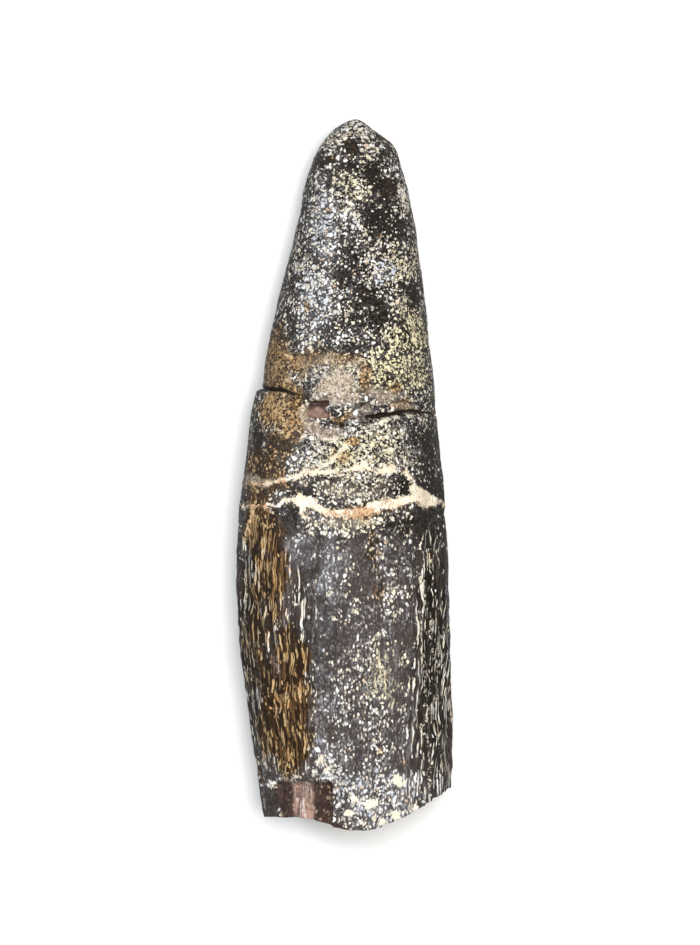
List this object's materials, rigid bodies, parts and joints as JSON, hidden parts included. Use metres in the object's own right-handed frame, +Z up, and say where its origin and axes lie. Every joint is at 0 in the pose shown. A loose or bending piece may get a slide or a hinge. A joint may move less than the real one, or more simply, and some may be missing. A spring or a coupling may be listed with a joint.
{
  "type": "fossil diplodocid tooth",
  "caption": "Slender peg-shaped dinosaur tooth, dark glossy wrinkled enamel, cracked across and broken at the root, lying on its flatter face.",
  "frame": {"origin": "centre of the bounding box's bottom, on the surface that the tooth lies on", "axes": "+Y from the broken root end to the tip, +Z up through the rounder face, +X to the right as seen from above"},
  "size_m": [0.0116, 0.038, 0.0086],
  "materials": {
    "enamel": "glossy dark brown to black enamel with fine wrinkles, cream and ochre mineral in its pits and cracks"
  },
  "bodies": {
    "root": {"tooth": "enamel"}
  },
  "joints": []
}
